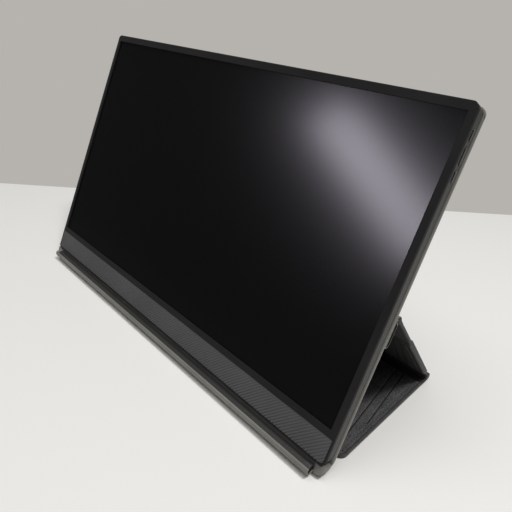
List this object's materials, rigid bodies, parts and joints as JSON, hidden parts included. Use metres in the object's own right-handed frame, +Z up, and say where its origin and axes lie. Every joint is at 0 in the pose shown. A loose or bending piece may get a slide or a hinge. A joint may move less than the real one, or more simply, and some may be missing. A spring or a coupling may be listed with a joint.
{
  "type": "portable monitor with folding cover",
  "caption": "Slim flat monitor with a ribbed chin, leaning on a folding leather cover whose tab, strut and base form a triangular stand.",
  "frame": {"origin": "centre of the bounding box on the surface that the cover stands on", "axes": "+X to the right along the width, +Y to the back, +Z up; the screen faces -Y and leans back"},
  "size_m": [0.4014, 0.1611, 0.2433],
  "materials": {
    "frame_plastic": "fine moulded matt black",
    "chin_plastic": "dark grey with fine sloping ribs",
    "matt_screen": "anti-glare film, black when off",
    "cell_glass": "liquid crystal cell",
    "optical_sheet": "clear and milky sheets",
    "led_strip": "light bar",
    "sheet_steel": "zinc-plated sheet",
    "rim_plastic": "dark grey moulded",
    "shell_alloy": "blasted and anodised satin dark grey",
    "screw_steel": "black oxide",
    "circuit_board": "green solder mask",
    "tinned_steel": "tin plated",
    "cell_foil": "pouch cell foil",
    "speaker_plastic": "black moulded",
    "flex_film": "amber film",
    "button_plastic": "satin black",
    "cover_leather": "grained black",
    "inner_leather": "fine grain, dark grey",
    "cover_board": "pressed board",
    "cover_lining": "brushed microfibre",
    "magnet_nickel": "nickel plated",
    "stiffener_alloy": "plain bar"
  },
  "bodies": {
    "monitor": {"front_bezel": "frame_plastic", "chin_panel": "chin_plastic", "screen_film": "matt_screen", "lcd_cell": "cell_glass", "diffuser_stack": "optical_sheet", "light_guide": "optical_sheet", "led_bar": "led_strip", "panel_tray": "sheet_steel", "mid_frame": "rim_plastic", "rear_housing": "shell_alloy", "housing_screws": "screw_steel", "main_board": "circuit_board", "shield_cans": "tinned_steel", "battery_cells": "cell_foil", "speaker_left": "speaker_plastic", "speaker_right": "speaker_plastic", "display_flex": "flex_film", "button_board": "circuit_board", "button_flex": "flex_film", "usb_c_port_lower": "tinned_steel", "usb_c_port_upper": "tinned_steel", "micro_hdmi_port": "tinned_steel", "audio_jack": "speaker_plastic", "rocker_pin": "screw_steel", "back_skin": "cover_leather", "back_board": "cover_board", "back_lining": "cover_lining", "back_magnets": "magnet_nickel", "spine_skin": "cover_leather", "spine_bar": "stiffener_alloy", "spine_lining": "cover_lining", "lip_roll": "cover_leather", "lip_rod": "stiffener_alloy", "tab_skin": "cover_leather", "tab_magnets": "magnet_nickel"},
    "strut": {"upper_fold": "cover_leather", "strut_skin": "cover_leather", "strut_centre_board": "cover_board", "strut_side_boards": "cover_board", "strut_lining": "inner_leather"},
    "base": {"rear_fold": "cover_leather", "base_skin": "cover_leather", "base_centre_board": "cover_board", "base_side_boards": "cover_board", "base_lining": "inner_leather", "base_magnets": "magnet_nickel"},
    "power_key": {"power_button": "button_plastic"},
    "menu_key": {"menu_button": "button_plastic"},
    "rocker_key": {"brightness_rocker": "button_plastic"}
  },
  "joints": [
    {"name": "strut_fold", "type": "hinge", "parent": "monitor", "child": "strut", "pos_m": [0, -0.01403, 0.10632], "axis": [1, 0, 0], "range_deg": [0, 114]},
    {"name": "base_fold", "type": "hinge", "parent": "strut", "child": "base", "pos_m": [0, 0.07715, 0.0034], "axis": [1, 0, 0], "range_deg": [-32, 130]},
    {"name": "power_press", "type": "slide", "parent": "monitor", "child": "power_key", "axis": [-1, 0, 0], "range_m": [0, 0.0004], "stiffness_N_per_m": 600, "springref_m": -0.0004},
    {"name": "menu_press", "type": "slide", "parent": "monitor", "child": "menu_key", "axis": [-1, 0, 0], "range_m": [0, 0.0004], "stiffness_N_per_m": 600, "springref_m": -0.0004},
    {"name": "brightness_rock", "type": "hinge", "parent": "monitor", "child": "rocker_key", "pos_m": [0.1985, 0.01607, 0.21211], "axis": [0, 0.9252, -0.3795], "range_deg": [-2.5, 2.5], "stiffness_Nm_per_rad": 0.05}
  ]
}
